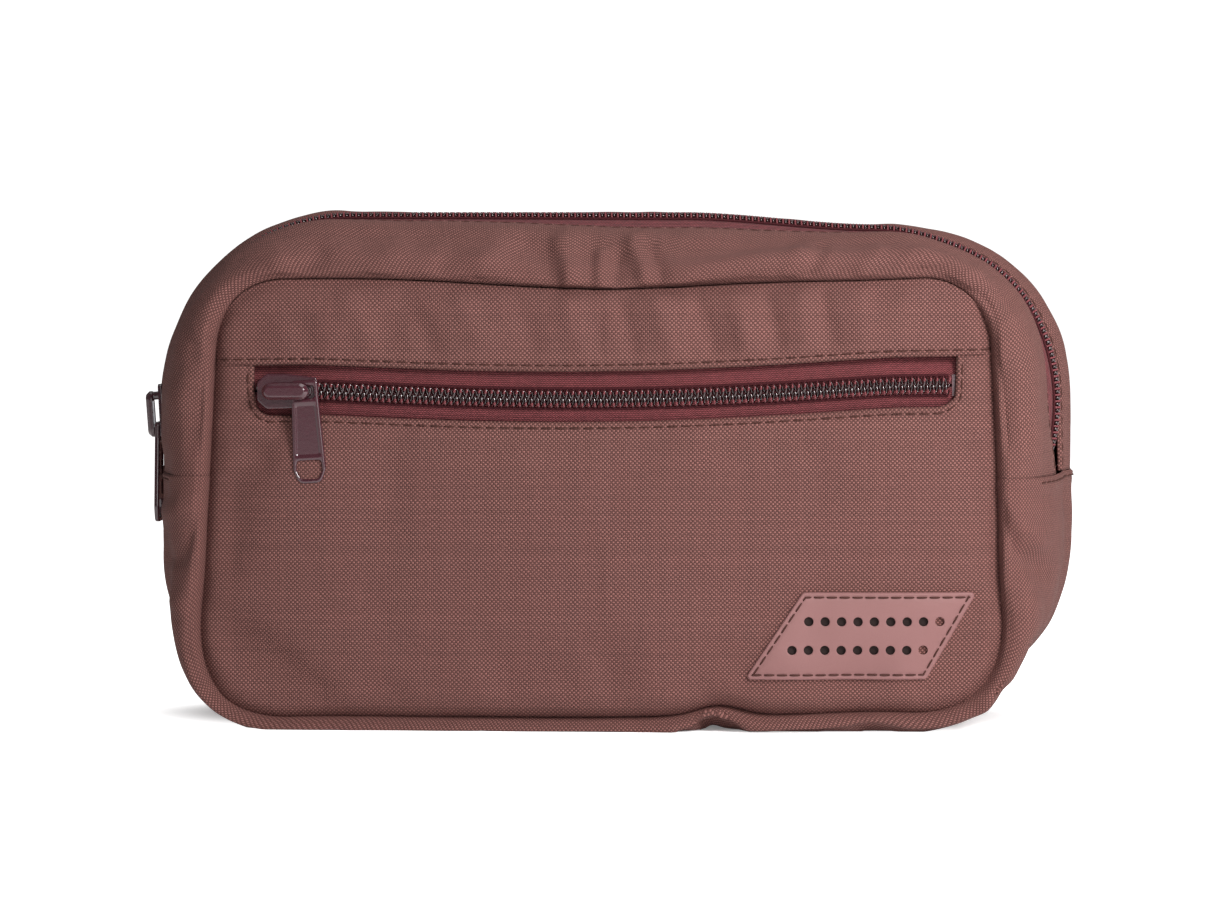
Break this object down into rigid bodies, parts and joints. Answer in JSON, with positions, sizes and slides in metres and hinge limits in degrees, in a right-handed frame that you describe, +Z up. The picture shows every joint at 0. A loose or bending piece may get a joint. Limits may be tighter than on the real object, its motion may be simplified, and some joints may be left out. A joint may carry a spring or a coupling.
{
  "type": "waist pack",
  "caption": "Fabric waist pack with a curved main zip over the top, a zipped front pocket, a slanted sewn badge and a stowed waist belt with a side-release buckle.",
  "frame": {"origin": "on the floor, under the middle of the pouch, on the flat of its bottom", "axes": "+X to the right as seen from the front, +Y towards the back, +Z up; the front panel faces -Y"},
  "size_m": [0.2863, 0.1128, 0.1567],
  "materials": {
    "shell_fabric": "plain weave",
    "lining_fabric": "plain weave",
    "zip_tape": "knitted",
    "zip_coil": "semi-gloss",
    "painted_metal": "gloss",
    "spring_steel": "bright",
    "badge": "matt",
    "foam": "matt",
    "webbing": "ribbed weave",
    "buckle_plastic": "satin"
  },
  "bodies": {
    "pack": {"front_lower_panel": "shell_fabric", "front_upper_panel": "shell_fabric", "front_pocket_bag": "lining_fabric", "badge": "badge", "front_zip_tape_upper": "zip_tape", "front_zip_tape_lower": "zip_tape", "front_zip_coil_upper": "zip_coil", "front_zip_coil_lower": "zip_coil", "front_zip_stops": "painted_metal", "zip_gusset_front": "shell_fabric", "zip_gusset_rear": "shell_fabric", "lower_gusset": "shell_fabric", "back_panel": "shell_fabric", "back_foam_pad": "foam", "main_zip_tape_front": "zip_tape", "main_zip_tape_rear": "zip_tape", "main_zip_coil_front": "zip_coil", "main_zip_coil_rear": "zip_coil", "main_zip_stops": "painted_metal", "lining_front": "lining_fabric", "lining_back": "lining_fabric", "lining_lower": "lining_fabric", "lining_zip_front": "lining_fabric", "lining_zip_rear": "lining_fabric", "binding_front": "webbing", "binding_back": "webbing"},
    "front_slider": {"front_slider_body": "painted_metal", "front_slider_crown": "painted_metal", "front_slider_lock_spring": "spring_steel"},
    "front_puller": {"front_puller": "painted_metal"},
    "main_slider": {"main_slider_body": "painted_metal", "main_slider_crown": "painted_metal", "main_slider_lock_spring": "spring_steel"},
    "main_puller": {"main_puller": "painted_metal"},
    "belt_left": {"belt_wing_left": "shell_fabric", "belt_strap_left": "webbing", "strap_keeper": "webbing"},
    "belt_right": {"belt_wing_right": "shell_fabric", "belt_strap_right": "webbing"},
    "buckle_male": {"buckle_male": "buckle_plastic"},
    "buckle_female": {"buckle_female": "buckle_plastic"}
  },
  "joints": [
    {"name": "front_slider_travel", "type": "hinge", "parent": "pack", "child": "front_slider", "pos_m": [0, 1.0575, 0.1038], "axis": [-0.0105, 0, 0.9999], "range_deg": [0, 9.91]},
    {"name": "front_puller_swing", "type": "hinge", "parent": "front_slider", "child": "front_puller", "pos_m": [-0.08975, -0.04331, 0.10286], "axis": [-0.0864, -0.9963, -0.0009], "range_deg": [-50, 180]},
    {"name": "main_slider_travel", "type": "hinge", "parent": "pack", "child": "main_slider", "pos_m": [-0.08, -0.004, 0.0985], "axis": [0, 1, 0], "range_deg": [0, 94]},
    {"name": "main_puller_swing", "type": "hinge", "parent": "main_slider", "child": "main_puller", "pos_m": [-0.14028, -0.004, 0.09103], "axis": [0, 1, 0], "range_deg": [-1, 115]},
    {"name": "belt_left_swing", "type": "hinge", "parent": "pack", "child": "belt_left", "pos_m": [-0.129, 0.0438, 0.08], "axis": [0, 0, 1], "range_deg": [0, 165]},
    {"name": "belt_right_swing", "type": "hinge", "parent": "pack", "child": "belt_right", "pos_m": [0.129, 0.0438, 0.08], "axis": [0, 0, -1], "range_deg": [0, 165]},
    {"name": "buckle_male_turn", "type": "hinge", "parent": "belt_left", "child": "buckle_male", "pos_m": [-0.038, 0.0485, 0.08], "axis": [0, 0, 1], "range_deg": [0, 70]},
    {"name": "buckle_female_turn", "type": "hinge", "parent": "belt_right", "child": "buckle_female", "pos_m": [0.038, 0.0485, 0.08], "axis": [0, 0, -1], "range_deg": [0, 70]}
  ]
}
